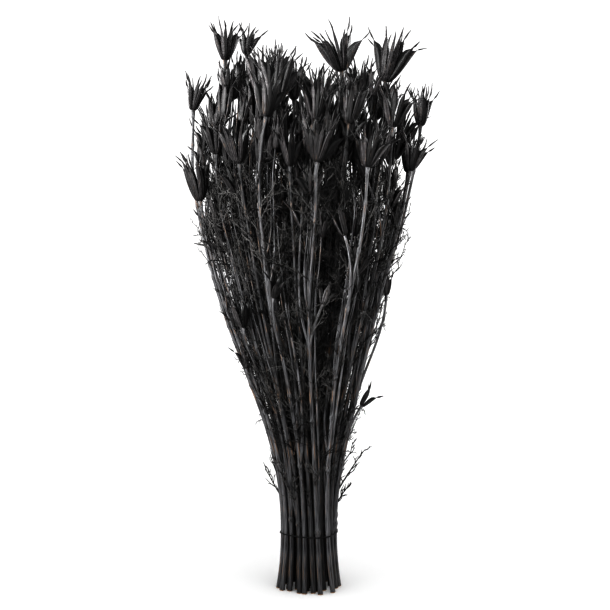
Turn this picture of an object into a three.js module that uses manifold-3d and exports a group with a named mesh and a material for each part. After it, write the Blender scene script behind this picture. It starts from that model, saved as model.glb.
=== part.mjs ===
// A bunch of dried, black-dyed nigella seed pods, bound at its waist and standing on its cut ends.
// Millimetres, +Z up. The origin is on the surface that the bunch stands on, under the middle stem's cut end.
// The front of the bunch faces -Y. Each stem grew as one piece with its shoots, pods and leaves.

import * as THREE from "three";
import { mergeVertices } from "three/addons/utils/BufferGeometryUtils.js";
import Module from "manifold-3d";

const wasm = await Module();
wasm.setup();

// Outline of the bunch: its outermost stems close in to the tie, flare below it and fan out above it
const WAIST_HEIGHT = 53;
const WAIST_RADIUS = 24.6;
const FOOT_FLARE = 4.4;
const FAN_WIDTH = 80.8;
const FAN_FROM = 60;
const FAN_TO = 430;
const SPIRAL_ANGLE = 0.25;
const SPIRAL_TOP = 180;
const SWAY = -7; // how far the middle of the bunch sags to one side

// Main heads: where each stem's pod starts (across, deep, high), the pod's length, and in degrees
// how far it opens and how far it leans to the right
const HEADS = [
  [-80, -15, 507, 41, 33, -2],
  [-63, 14, 519, 33, 30, 8],
  [-28, -60, 456, 52, 30, -2],
  [29, -10, 497, 50, 39, -15],
  [50, 22, 474, 50, 26, 0],
  [73, -15, 485, 55, 33, 8],
  [106, 5, 447, 42, 20, -5],
  [79, -45, 437, 44, 36, 4],
  [96, -24, 399, 40, 24, -1],
  [-112, 5, 462, 38, 26, 8],
  [-84, -38, 413, 43, 30, 0],
  [-104, -20, 371, 51, 17, -1],
  [-60, -70, 399, 46, 38, 0],
  [-41, -86, 437, 44, 28, 0],
  [6, -66, 439, 42, 32, 4],
  [37, -58, 437, 46, 36, 0],
  [4, -104, 395, 43, 34, 3],
  [-15, -84, 395, 40, 30, -4],
  [8, -34, 446, 46, 32, -3],
  [50, -88, 393, 42, 32, 5],
  [-48, -28, 470, 50, 24, -3],
  [-14, -24, 466, 44, 26, 2],
  [-97, 40, 440, 42, 28, -4],
  [-40, 68, 462, 46, 32, 0],
  [-30, 8, 490, 40, 24, 0],
  [0, 0, 464, 44, 28, 0],
  [15, 38, 474, 44, 32, 4],
  [-5, 75, 462, 46, 32, -4],
  [35, 72, 480, 44, 30, 0],
  [70, 45, 462, 48, 32, 5],
  [98, 30, 405, 42, 24, 0],
  [66, 78, 425, 44, 32, 4],
  [25, 101, 408, 42, 30, 0],
  [-25, 98, 418, 44, 32, -2],
  [-66, 80, 395, 42, 30, -4],
  [-68, 46, 478, 42, 36, -3],
];

// Small heads that stand out from the side of the bunch: the pod's foot, its length, its lean in degrees and
// how far below it its shoot leaves a stem
const SMALL_HEADS = [
  [-79, -20, 324, 34, -62, 64],
  [-60, -15, 213, 26, -8, 48],
  [69, 0, 306, 28, 38, 48],
  [74, -10, 283, 25, 2, 119],
  [51, -6, 176, 25, 34, 48],
];

// Stems
const STEM_FOOT_RADIUS = 2.4;
const STEM_TIP_RADIUS = 1.2;
const STEM_SIDES = 5;
const STEM_STEPS = 8;
const STEM_PITCH = 0.235; // least spacing of two stems, as a share of the bunch's radius at any height
const PRESS_ROUNDS = 30;
const BOW = 0.025; // how far a stem wanders, as a share of the bunch's radius
const BOW_LENGTH = 330;

// Pods: a ring of follicles joined to the belly and free above it. Each is a blade on edge, deep towards the
// pod's axis, with a flat keel outside, a sloping shoulder on top and a beak at its outer corner.
const BEAK_LENGTH = 12.5;
const LONGEST_BEAK_SHARE = 0.32; // of a pod's length
const BEAK_BEND = 0.08;
const BEAK_ROOT = 0.2; // of the shoulder's slope
const POD_LEAN = 0.05; // lean of the outermost pods to the front or back
const POD_TILT = 0.2; // range of the pods' tilt to the front or back
const POD_FOOT_RADIUS = 2;
const POD_SINK = 2;
const BELLY_AT = 0.52; // along a follicle's body
const BULGE = 0.12; // of a follicle's body
const KEEL_HALF_WIDTH = 2.2;
const SHOULDER_HALF_WIDTH = 1.1;
const SHOULDER_DROP = 0.72; // height of the shoulder's inner end, as a share of the body
const SHOULDER_INSIDE = 0.35; // its distance from the pod's axis, as a share of the beak's
const VALLEY_AT = 0.46;
const VALLEY_DEPTH = 0.6; // of the opening of the follicles on its sides
const FLOOR_AT = 0.3;
const OPENINGS = [1, 0.8, 0.62, 0.46, 0.32]; // shares of its opening that a follicle tries until it is clear
const LEAST_OPENING = 0.16;
const OPENING_RANGE = [0.7, 1.1]; // of a pod's opening, from follicle to follicle
const POD_ROOM = 8; // radius kept free round a pod's axis before its follicles open
const SMALL_POD_ROOM = 5;
const BODY_ROD = 3.6;
const BEAK_ROD = 1.2;

// Side shoots, each with a small pod
const SHOOTS = 27;
const SHOOT_STRIDE = 11; // stems from one shoot to the next
const SHOOT_RADIUS = 1.25;
const SHOOT_TIP_RADIUS = 1;
const SHOOT_STEPS = 4;
const SHOOT_BEARINGS = 24;
const SHOOT_BOUND = 1.05; // how far out a shoot may end, as a share of the bunch's radius

// Thread leaves
const LEAVES_PER_STEM = 3;
const LEAF_FROM = 130;
const LEAF_RADIUS = 0.55;
const LEAF_TIP_RADIUS = 0.35;
const LEAF_STEPS = 2;
const LEAF_BEARINGS = 9;
const LEAF_SIZES = [1, 0.7, 0.45];

// Tie: an elastic band stretched round the stems
const TIE_HEIGHT = 1.2;
const TIE_THICKNESS = 0.8;

// Least room between two nodes
const GAP = 0.5;
const GOLDEN_ANGLE = Math.PI * (3 - Math.sqrt(5));

const DYED_STEM = new THREE.MeshStandardMaterial({ color: 0x2a2a2b, roughness: 0.72, metalness: 0 });
const TIE_RUBBER = new THREE.MeshStandardMaterial({ color: 0x161616, roughness: 0.6, metalness: 0 });

// A number from 0 to 1 for each index, spread evenly and with no pattern; each prime gives another series.
function scatter(index, prime) {
  return ((index + 1) * Math.sqrt(prime)) % 1;
}

function between(low, high, share) {
  return low + (high - low) * share;
}

function vector(x, y, z) {
  return new THREE.Vector3(x, y, z);
}

// Point reached from a start by adding multiples of some directions.
function reach(start, ...moves) {
  const point = start.clone();
  for (const [length, direction] of moves) point.addScaledVector(direction, length);
  return point;
}

// Solids

function solidOf(points, triangles) {
  const geometry = new THREE.BufferGeometry().setFromPoints(points).setIndex(triangles);
  const merged = mergeVertices(geometry, 1e-4);
  return new wasm.Manifold(
    new wasm.Mesh({
      numProp: 3,
      vertProperties: merged.attributes.position.array,
      triVerts: new Uint32Array(merged.index.array),
    }),
  );
}

function meshOf(solid, name, material) {
  const { vertProperties, triVerts } = solid.getMesh();
  const geometry = new THREE.BufferGeometry();
  geometry.setAttribute("position", new THREE.BufferAttribute(vertProperties, 3));
  geometry.setIndex(new THREE.BufferAttribute(triVerts, 1));
  geometry.computeVertexNormals();
  const mesh = new THREE.Mesh(geometry, material);
  mesh.name = name;
  return mesh;
}

// Closed skin over rings of equal corners, each counter-clockwise seen from the last ring.
function loft(rings) {
  const sides = rings[0].length;
  const triangles = [];
  for (let step = 0; step + 1 < rings.length; step += 1) {
    for (let side = 0; side < sides; side += 1) {
      const next = (side + 1) % sides;
      const low = step * sides;
      const high = low + sides;
      triangles.push(low + side, low + next, high + next, low + side, high + next, high + side);
    }
  }
  const last = (rings.length - 1) * sides;
  for (let side = 1; side + 1 < sides; side += 1) {
    triangles.push(0, side + 1, side, last, last + side, last + side + 1);
  }
  return solidOf(rings.flat(), triangles);
}

// Tapered tube along a curve.
function taperedTube(curve, steps, sides, startRadius, endRadius) {
  const { normals, binormals } = curve.computeFrenetFrames(steps, false);
  const rings = [];
  for (let step = 0; step <= steps; step += 1) {
    const centre = curve.getPointAt(step / steps);
    const radius = between(startRadius, endRadius, step / steps);
    const ring = [];
    for (let side = 0; side < sides; side += 1) {
      const angle = (2 * Math.PI * side) / sides;
      ring.push(
        reach(centre, [radius * Math.cos(angle), normals[step]], [radius * Math.sin(angle), binormals[step]]),
      );
    }
    rings.push(ring);
  }
  return loft(rings);
}

// Room: every stem, follicle and leaf is known by the rods along it, so that no node crosses another

const rods = [];

function addRod(owner, start, end, radius) {
  rods.push({ owner, start, end, radius });
}

// Least distance between two straight stretches, from the nearest points of their lines held to their ends.
function distanceBetween(startA, endA, startB, endB) {
  const alongA = endA.clone().sub(startA);
  const alongB = endB.clone().sub(startB);
  const apart = startA.clone().sub(startB);
  const lengthA = alongA.lengthSq();
  const lengthB = alongB.lengthSq();
  const cross = alongA.dot(alongB);
  const backA = alongA.dot(apart);
  const backB = alongB.dot(apart);
  const spread = lengthA * lengthB - cross * cross;
  let shareA = spread > 1e-9 ? THREE.MathUtils.clamp((cross * backB - backA * lengthB) / spread, 0, 1) : 0;
  const freeB = (cross * shareA + backB) / lengthB;
  const shareB = THREE.MathUtils.clamp(freeB, 0, 1);
  if (shareB !== freeB) shareA = THREE.MathUtils.clamp((cross * shareB - backA) / lengthA, 0, 1);
  return apart.addScaledVector(alongA, shareA).addScaledVector(alongB, -shareB).length();
}

// Room that a rod leaves to the nearest rod of any other node.
function roomRound(owner, start, end, radius) {
  let room = Infinity;
  for (const rod of rods) {
    if (rod.owner === owner) continue;
    room = Math.min(room, distanceBetween(start, end, rod.start, rod.end) - radius - rod.radius);
  }
  return room;
}

// Stems

function bunchRadius(height) {
  const fan = THREE.MathUtils.smoothstep(height, FAN_FROM, FAN_TO);
  const flare = Math.max(0, 1 - height / WAIST_HEIGHT) ** 2;
  return WAIST_RADIUS + FAN_WIDTH * fan + FOOT_FLARE * flare;
}

// Moves stems that stand too close apart, in shares of the bunch's radius.
function pressApart(spots) {
  for (let round = 0; round < PRESS_ROUNDS; round += 1) {
    for (let one = 0; one < spots.length; one += 1) {
      for (let other = 0; other < one; other += 1) {
        const apart = spots[one].clone().sub(spots[other]);
        const push = (STEM_PITCH - apart.length()) / 2;
        if (push <= 0) continue;
        apart.setLength(push);
        spots[one].add(apart);
        spots[other].sub(apart);
      }
    }
  }
  return spots;
}

// Sideways sag of the bunch at a height, none at the tie and at the topmost heads.
function sway(height) {
  const { smoothstep } = THREE.MathUtils;
  return SWAY * smoothstep(height, 120, 300) * (1 - smoothstep(height, 380, 480));
}

const spots = pressApart(
  HEADS.map(([x, y, z]) => new THREE.Vector2(x - sway(z), y).divideScalar(bunchRadius(z))),
);

// Axis of a stem at a height: its spot in the bunch, turned by the spiral lay, with a slow wander.
function stemPoint(stem, height) {
  const turn = SPIRAL_ANGLE * (1 - THREE.MathUtils.smoothstep(height, 0, SPIRAL_TOP));
  const wander = (2 * Math.PI * height) / BOW_LENGTH;
  const spot = spots[stem].clone().rotateAround(new THREE.Vector2(), turn);
  spot.x += BOW * Math.sin(wander + 2 * Math.PI * scatter(stem, 2));
  spot.y += BOW * Math.sin(wander + 2 * Math.PI * scatter(stem, 3));
  spot.multiplyScalar(bunchRadius(height));
  return vector(spot.x + sway(height), spot.y, height);
}

function stemRadius(stem, height) {
  return between(STEM_FOOT_RADIUS, STEM_TIP_RADIUS, height / HEADS[stem][2]);
}

// Heights of a stem's rings: its cut end, the tie, and even steps from there to its head.
function stemHeights(stem) {
  const shares = Array.from({ length: STEM_STEPS }, (_, step) => step / (STEM_STEPS - 1));
  return [0, ...shares.map((share) => between(WAIST_HEIGHT, HEADS[stem][2], share))];
}

function makeStem(stem) {
  const turn = 2 * Math.PI * scatter(stem, 5);
  return loft(
    stemHeights(stem).map((height) => {
      const centre = stemPoint(stem, height);
      const radius = stemRadius(stem, height);
      return Array.from({ length: STEM_SIDES }, (_, side) => {
        const angle = turn + (2 * Math.PI * side) / STEM_SIDES;
        return reach(centre, [radius, vector(Math.cos(angle), Math.sin(angle), 0)]);
      });
    }),
  );
}

// Pods

// Directions of a pod: its axis, and the two that its follicles stand round.
function podFrame(axis) {
  const first = vector(1, 0, 0).addScaledVector(axis, -axis.x).normalize();
  return { axis, first, second: axis.clone().cross(first) };
}

// Direction of one follicle, opened from the pod's axis, with the outward and sideways directions across it.
function follicleFrame(frame, bearing, opening) {
  const radial = reach(vector(0, 0, 0), [Math.cos(bearing), frame.first], [Math.sin(bearing), frame.second]);
  const along = reach(vector(0, 0, 0), [Math.cos(opening), frame.axis], [Math.sin(opening), radial]);
  const outward = reach(vector(0, 0, 0), [Math.cos(opening), radial], [-Math.sin(opening), frame.axis]);
  return { radial, along, outward, sideways: frame.axis.clone().cross(radial) };
}

// A pod's follicles, each opened as wide as the nodes round it leave room for.
function openPod(owner, foot, axis, length, opening, count, turn) {
  const frame = podFrame(axis);
  const beak = Math.min(BEAK_LENGTH, LONGEST_BEAK_SHARE * length);
  const body = length - beak;
  const follicles = [];
  for (let index = 0; index < count; index += 1) {
    const bearing = turn + (2 * Math.PI * index) / count;
    let made;
    for (const share of OPENINGS) {
      const own = between(...OPENING_RANGE, scatter(index + 10 * turn, 71));
      const angle = Math.max(LEAST_OPENING, opening * own * share);
      const lie = follicleFrame(frame, bearing, angle);
      const belly = reach(foot, [BELLY_AT * body, lie.along], [0.5 * BULGE * body, lie.outward]);
      const corner = reach(foot, [body, lie.along]);
      const tip = reach(corner, [beak, follicleFrame(frame, bearing, angle + BEAK_BEND).along]);
      made = { bearing, angle, ...lie, belly, corner, tip };
      const room = Math.min(
        roomRound(owner, foot, belly, BODY_ROD),
        roomRound(owner, belly, corner, BODY_ROD),
        roomRound(owner, corner, tip, BEAK_ROD),
      );
      if (room > GAP) break;
    }
    follicles.push(made);
  }
  const core = SHOULDER_INSIDE * body * Math.sin(opening) + 1.5;
  addRod(owner, foot, reach(foot, [SHOULDER_DROP * body, axis]), core);
  for (const { belly, corner, tip } of follicles) {
    addRod(owner, foot, belly, BODY_ROD);
    addRod(owner, belly, corner, BODY_ROD);
    addRod(owner, corner, tip, BEAK_ROD);
  }
  return { foot, frame, body, follicles };
}

// Closed skin of a pod. Per follicle: a corner of the foot, both edges of the keel at the belly, the valley
// to the next follicle, both edges of the keel at the shoulder, the shoulder's inner end, the beak's root
// and its tip.
function makePod({ foot, frame, body, follicles }) {
  const count = follicles.length;
  const points = [];
  const triangles = [];
  follicles.forEach((follicle, index) => {
    const { bearing, angle, radial, along, outward, sideways, corner, tip } = follicle;
    const next = follicles[(index + 1) % count];
    const bellyReach = BELLY_AT * body * Math.sin(angle) + BULGE * body * Math.cos(angle);
    const half = Math.min(KEEL_HALF_WIDTH, 0.8 * bellyReach * Math.tan(Math.PI / count));
    const belly = reach(foot, [BELLY_AT * body, along], [BULGE * body, outward]);
    const valleyOpening = (VALLEY_DEPTH * (angle + next.angle)) / 2 + 0.04;
    const valley = follicleFrame(frame, bearing + Math.PI / count, valleyOpening);
    const inside = reach(
      foot,
      [SHOULDER_DROP * body * Math.cos(angle), frame.axis],
      [SHOULDER_INSIDE * body * Math.sin(angle), radial],
    );
    points.push(
      reach(foot, [-POD_SINK, frame.axis], [POD_FOOT_RADIUS, radial]),
      reach(belly, [-half, sideways]),
      reach(belly, [half, sideways]),
      reach(foot, [VALLEY_AT * body, valley.along]),
      reach(corner, [-SHOULDER_HALF_WIDTH, sideways]),
      reach(corner, [SHOULDER_HALF_WIDTH, sideways]),
      inside,
      corner.clone().lerp(inside, BEAK_ROOT),
      tip,
    );
  });
  const perFollicle = points.length / count;
  const floor = points.push(reach(foot, [FLOOR_AT * body, frame.axis])) - 1;
  for (let index = 0; index < count; index += 1) {
    const start = index * perFollicle;
    const after = ((index + 1) % count) * perFollicle;
    const own = Array.from({ length: perFollicle }, (_, part) => start + part);
    const [base, bellyLeft, bellyRight, valley, left, right, inside, root, tip] = own;
    const before = ((index + count - 1) % count) * perFollicle + 3;
    triangles.push(base, after, valley, base, valley, bellyRight);
    triangles.push(base, bellyRight, bellyLeft, base, bellyLeft, before);
    triangles.push(bellyLeft, bellyRight, right, bellyLeft, right, left);
    triangles.push(bellyRight, valley, inside, bellyRight, inside, right);
    triangles.push(before, bellyLeft, left, before, left, inside);
    triangles.push(valley, before, inside, floor, before, valley);
    triangles.push(left, right, tip, right, root, tip, root, left, tip);
    triangles.push(right, inside, root, inside, left, root);
    if (index > 0 && index + 1 < count) triangles.push(0, after, base);
  }
  return solidOf(points, triangles);
}

// The stem's own pod stands on its tip and leans a little.
function mainPodAxis(stem) {
  const height = HEADS[stem][2];
  const axis = stemPoint(stem, height).sub(stemPoint(stem, height - 20)).normalize();
  axis.x += THREE.MathUtils.degToRad(HEADS[stem][5]);
  axis.y += POD_LEAN * spots[stem].y + POD_TILT * (scatter(stem, 53) - 0.5);
  return axis.normalize();
}

function openMainPod(stem) {
  const [, , height, length, degrees] = HEADS[stem];
  const count = 8 + Math.floor(2.2 * scatter(stem, 7));
  const turn = 2 * Math.PI * scatter(stem, 11);
  const opening = THREE.MathUtils.degToRad(degrees);
  return openPod(stem, stemPoint(stem, height), mainPodAxis(stem), length, opening, count, turn);
}

// Side shoots: each leaves its stem along it, bends away and ends in a small pod.

function shootTo(stem, height, foot, axis) {
  const start = stemPoint(stem, height);
  const span = foot.distanceTo(start);
  const rise = stemPoint(stem, height + 10).sub(start).normalize();
  const curve = new THREE.CubicBezierCurve3(
    start,
    reach(start, [0.4 * span, rise]),
    reach(foot, [-0.35 * span, axis]),
    foot,
  );
  return { stem, span, axis, curve, points: curve.getSpacedPoints(SHOOT_STEPS) };
}

function leaning(bearing, lean) {
  return vector(Math.sin(lean) * Math.cos(bearing), Math.sin(lean) * Math.sin(bearing), Math.cos(lean));
}

// The preferred one of those shoots that have room for themselves and for a pod.
function chooseShoot(shoots, length, podRoom, prefer) {
  let best;
  for (const shoot of shoots) {
    const { stem, axis, points } = shoot;
    shoot.room = roomRound(stem, points.at(-1), reach(points.at(-1), [length, axis]), podRoom);
    for (let step = 1; step < SHOOT_STEPS; step += 1) {
      shoot.room = Math.min(shoot.room, roomRound(stem, points[step], points[step + 1], SHOOT_RADIUS));
    }
    if (shoot.room > GAP && (!best || prefer(shoot) > prefer(best))) best = shoot;
  }
  return best;
}

// Adds a shoot and its pod to its stem.
function growShoot(shoot, length, opening, count, turn) {
  const { stem, axis, curve, points } = shoot;
  points.slice(1).forEach((point, step) => addRod(stem, points[step], point, SHOOT_RADIUS));
  const pod = openPod(stem, points.at(-1), axis, length, opening, count, turn);
  growth[stem].push(taperedTube(curve, SHOOT_STEPS, 4, SHOOT_RADIUS, SHOOT_TIP_RADIUS), makePod(pod));
}

// A shoot to a chosen place comes from the stem that is nearest to it and leaves it a clear way.
function growSmallHead([x, y, z, length, lean, rise], index) {
  const foot = vector(x, y, z);
  const axis = leaning(0, THREE.MathUtils.degToRad(lean));
  const shoots = HEADS.map((_, stem) => shootTo(stem, z - rise, foot, axis));
  const shoot = chooseShoot(shoots, length, SMALL_POD_ROOM, ({ span }) => -span);
  if (shoot) growShoot(shoot, length, 0.5, 3 + (index % 2), 0);
}

// The other shoots end on the most open side of their stem.
function growSideShoot(index) {
  const stem = (index * SHOOT_STRIDE) % HEADS.length;
  const height = HEADS[stem][2] * between(0.36, 0.8, scatter(index, 13));
  const end = height + between(48, 96, scatter(index, 17));
  const out = bunchRadius(end) * between(0.15, 0.25, scatter(index, 19));
  const length = between(24, 37, scatter(index, 23));
  const opening = between(0.4, 0.6, scatter(index, 29));
  const lean = between(0.1, 0.5, scatter(index, 37));
  const shoots = [];
  for (let turn = 0; turn < SHOOT_BEARINGS; turn += 1) {
    const bearing = (2 * Math.PI * turn) / SHOOT_BEARINGS;
    const foot = reach(stemPoint(stem, end), [out, leaning(bearing, Math.PI / 2)]);
    if (Math.hypot(foot.x - sway(end), foot.y) > SHOOT_BOUND * bunchRadius(end)) continue;
    shoots.push(shootTo(stem, height, foot, leaning(bearing, lean)));
  }
  const shoot = chooseShoot(shoots, length, POD_ROOM, ({ room }) => room);
  if (shoot) growShoot(shoot, length, opening, 4 + Math.floor(2 * scatter(index, 31)), index);
}

// Thread leaves: each curves out and up from its stem, on the first clear side and at the first clear size.
function growLeaf(stem, order) {
  const index = stem * LEAVES_PER_STEM + order;
  const top = HEADS[stem][2] - 50;
  const height = between(LEAF_FROM, top, (order + scatter(index, 37)) / LEAVES_PER_STEM);
  for (const size of LEAF_SIZES) {
    for (let turn = 0; turn < LEAF_BEARINGS; turn += 1) {
      const bearing = GOLDEN_ANGLE * index + (2 * Math.PI * turn) / LEAF_BEARINGS;
      const away = vector(Math.cos(bearing), Math.sin(bearing), 0);
      const out = size * between(16, 26, scatter(index, 41));
      const rise = size * between(20, 34, scatter(index, 43));
      const curve = new THREE.QuadraticBezierCurve3(
        stemPoint(stem, height),
        reach(stemPoint(stem, height), [0.8 * out, away], [0.25 * rise, vector(0, 0, 1)]),
        reach(stemPoint(stem, height), [out, away], [rise, vector(0, 0, 1)]),
      );
      const points = curve.getSpacedPoints(LEAF_STEPS);
      const room = Math.min(
        ...points.slice(1).map((point, step) => roomRound(stem, points[step], point, LEAF_RADIUS)),
      );
      if (room < GAP) continue;
      points.slice(1).forEach((point, step) => addRod(stem, points[step], point, LEAF_RADIUS));
      return taperedTube(curve, LEAF_STEPS, 3, LEAF_RADIUS, LEAF_TIP_RADIUS);
    }
  }
  return null;
}

// Tie: the hull of the stems at the waist, offset to their outsides and drawn up as a band

function tieOutline(offset) {
  const centres = HEADS.map((_, stem) => stemPoint(stem, WAIST_HEIGHT));
  centres.sort((a, b) => a.x - b.x || a.y - b.y);
  const half = (ordered) => {
    const kept = [];
    for (const point of ordered) {
      while (kept.length > 1) {
        const [a, b] = kept.slice(-2);
        if ((b.x - a.x) * (point.y - a.y) - (b.y - a.y) * (point.x - a.x) > 0) break;
        kept.pop();
      }
      kept.push(point);
    }
    return kept.slice(0, -1);
  };
  const hull = [...half(centres), ...half([...centres].reverse())];
  return hull.flatMap((point, index) => {
    const before = hull[(index + hull.length - 1) % hull.length];
    const after = hull[(index + 1) % hull.length];
    return [
      [before, point],
      [point, after],
    ].map(([from, to]) => {
      const run = new THREE.Vector2(to.x - from.x, to.y - from.y).normalize();
      return new THREE.Vector2(point.x + offset * run.y, point.y - offset * run.x);
    });
  });
}

function makeTie() {
  const inside = Math.max(...HEADS.map((_, stem) => stemRadius(stem, WAIST_HEIGHT - TIE_HEIGHT))) + GAP;
  const band = new THREE.Shape(tieOutline(inside + TIE_THICKNESS));
  band.holes.push(new THREE.Path(tieOutline(inside)));
  const geometry = new THREE.ExtrudeGeometry(band, { depth: TIE_HEIGHT, bevelEnabled: false });
  const mesh = new THREE.Mesh(geometry, TIE_RUBBER);
  mesh.position.z = WAIST_HEIGHT - TIE_HEIGHT / 2;
  mesh.name = "tie";
  return mesh;
}

// The bunch: stems first, then the pods on their tips, the side shoots and the leaves in the room left

const stems = HEADS.map((_, stem) => makeStem(stem));
HEADS.forEach((_, stem) => {
  const points = stemHeights(stem).map((height) => stemPoint(stem, height));
  for (let step = 0; step < STEM_STEPS; step += 1) {
    addRod(stem, points[step], points[step + 1], stemRadius(stem, points[step].z));
  }
  const foot = points.at(-1);
  addRod(stem, foot, reach(foot, [0.7 * HEADS[stem][3], mainPodAxis(stem)]), POD_ROOM);
});

const growth = HEADS.map(() => []);
const mainPods = HEADS.map((_, stem) => openMainPod(stem));
mainPods.forEach((pod, stem) => growth[stem].push(makePod(pod)));
SMALL_HEADS.forEach(growSmallHead);
for (let index = 0; index < SHOOTS; index += 1) growSideShoot(index);
HEADS.forEach((_, stem) => {
  for (let order = 0; order < LEAVES_PER_STEM; order += 1) {
    const leaf = growLeaf(stem, order);
    if (leaf) growth[stem].push(leaf);
  }
});

const bunch = new THREE.Group();
stems.forEach((stalk, stem) => {
  const whole = growth[stem].reduce((joined, grown) => joined.add(grown), stalk);
  bunch.add(meshOf(whole, `stem_${String(stem + 1).padStart(2, "0")}`, DYED_STEM));
});
bunch.add(makeTie());

export default bunch;
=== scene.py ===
"""Looks of a tied bunch of dried, black-dyed nigella stems with their seed pods and thread leaves.

Blender works in metres. Lengths here are in millimetres, as plants are measured, and become metres in a mesh.
"""

import math

import bpy
import numpy as np
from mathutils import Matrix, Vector


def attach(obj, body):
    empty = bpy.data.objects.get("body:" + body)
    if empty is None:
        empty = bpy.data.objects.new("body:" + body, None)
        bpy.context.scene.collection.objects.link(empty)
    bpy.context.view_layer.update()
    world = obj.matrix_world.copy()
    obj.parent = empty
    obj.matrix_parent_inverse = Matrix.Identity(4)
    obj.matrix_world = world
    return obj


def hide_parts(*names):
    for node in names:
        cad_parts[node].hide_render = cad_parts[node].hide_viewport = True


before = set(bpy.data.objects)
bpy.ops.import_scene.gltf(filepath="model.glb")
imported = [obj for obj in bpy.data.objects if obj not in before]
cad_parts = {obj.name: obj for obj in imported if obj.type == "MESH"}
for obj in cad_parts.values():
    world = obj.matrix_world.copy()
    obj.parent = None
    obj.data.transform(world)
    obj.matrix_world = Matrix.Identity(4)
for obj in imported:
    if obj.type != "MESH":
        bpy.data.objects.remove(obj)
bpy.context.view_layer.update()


# Camera
# A level camera at the middle of the bunch's height, 0.9 m in front of it, so that the whole bunch fills
# the frame.
CAMERA_PLACE = (-0.004, -0.9, 0.272)
CAMERA_VIEW = math.radians(36.33)

camera = bpy.data.objects.new("camera", bpy.data.cameras.new("camera"))
camera.data.angle = CAMERA_VIEW
camera.location = CAMERA_PLACE
camera.rotation_euler = (math.pi / 2, 0, 0)
bpy.context.scene.collection.objects.link(camera)
bpy.context.scene.camera = camera


# Studio floor
# A sheet of matt white card that the bunch stands on, so wide that its edge is far off. Only the bunch's
# soft shadow shows on it.
FLOOR_SIZE = 12.0
FLOOR_WHITE = "ffffff"


def linear(colour):
    """Linear red, green, blue and alpha of an sRGB hex colour: each channel by the sRGB curve."""
    channels = np.array([int(colour[at : at + 2], 16) for at in (0, 2, 4)]) / 255
    low = channels / 12.92
    high = ((channels + 0.055) / 1.055) ** 2.4
    return (*np.where(channels <= 0.04045, low, high), 1.0)


def new_material(name):
    """An empty node material."""
    material = bpy.data.materials.new(name)
    material.use_nodes = True
    material.node_tree.nodes.clear()
    return material


def add_node(tree, kind, inputs=(), **settings):
    """Adds a node of a kind with its settings, and sets each input to a value or links it to another node's
    output."""
    node = tree.nodes.new("ShaderNode" + kind)
    for name, value in settings.items():
        setattr(node, name, value)
    for name, value in dict(inputs).items():
        if isinstance(value, bpy.types.NodeSocket):
            tree.links.new(value, node.inputs[name])
        else:
            node.inputs[name].default_value = value
    return node


def white_card():
    """Matt paper card: an even white with no gloss."""
    material = new_material("white_card")
    tree = material.node_tree
    card = add_node(tree, "BsdfDiffuse", {"Color": linear(FLOOR_WHITE), "Roughness": 0.6})
    add_node(tree, "OutputMaterial", {"Surface": card.outputs["BSDF"]})
    return material


floor_mesh = bpy.data.meshes.new("floor")
corners = FLOOR_SIZE / 2 * np.array([[-1, -1, 0], [1, -1, 0], [1, 1, 0], [-1, 1, 0]])
floor_mesh.from_pydata(corners, [], [(0, 1, 2, 3)])
floor_mesh.materials.append(white_card())
floor = bpy.data.objects.new("floor", floor_mesh)
bpy.context.scene.collection.objects.link(floor)


# Studio light
# A white tent all round, two soft boxes in front of the bunch, the stronger one on the left, and two behind
# it at both sides. Flags keep the boxes' light off the floor, where only the tent's light is, with the
# bunch's soft shadow.
TENT_LIGHT = 1.2
FILM_GAMMA = 0.61  # below 1 the blacks are deep and the whites stay
SOFT_BOXES = {  # place, side and power of each in metres and watts
    "key_box": ((-0.9, -1.2, 0.75), 0.3, 4.4),
    "fill_box": ((0.2, -1.6, 0.5), 0.6, 1.6),
    "left_box": ((-1.3, 0.7, 0.7), 0.6, 3.8),
    "right_box": ((1.3, 0.7, 0.7), 0.6, 3.8),
}
BOX_SPREAD = math.radians(30)  # by the honeycomb grid in front of each box
BUNCH_MIDDLE = (0, 0, 0.42)

off_the_floor = bpy.data.collections.new("off_the_floor")
off_the_floor.objects.link(floor)
off_the_floor.collection_objects[0].light_linking.link_state = "EXCLUDE"
tent = bpy.data.worlds.new("tent")
tent.use_nodes = True
tent.node_tree.nodes["Background"].inputs["Color"].default_value = (1, 1, 1, 1)
tent.node_tree.nodes["Background"].inputs["Strength"].default_value = TENT_LIGHT
bpy.context.scene.world = tent
bpy.context.scene.view_settings.view_transform = "Standard"
bpy.context.scene.view_settings.gamma = FILM_GAMMA
for name, (place, side, power) in SOFT_BOXES.items():
    lamp = bpy.data.objects.new(name, bpy.data.lights.new(name, "AREA"))
    lamp.data.size = side
    lamp.data.energy = power
    lamp.data.spread = BOX_SPREAD
    lamp.light_linking.receiver_collection = off_the_floor
    lamp.location = place
    aim = Vector(BUNCH_MIDDLE) - lamp.location
    lamp.rotation_euler = aim.to_track_quat("-Z", "Y").to_euler()
    bpy.context.scene.collection.objects.link(lamp)


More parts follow.
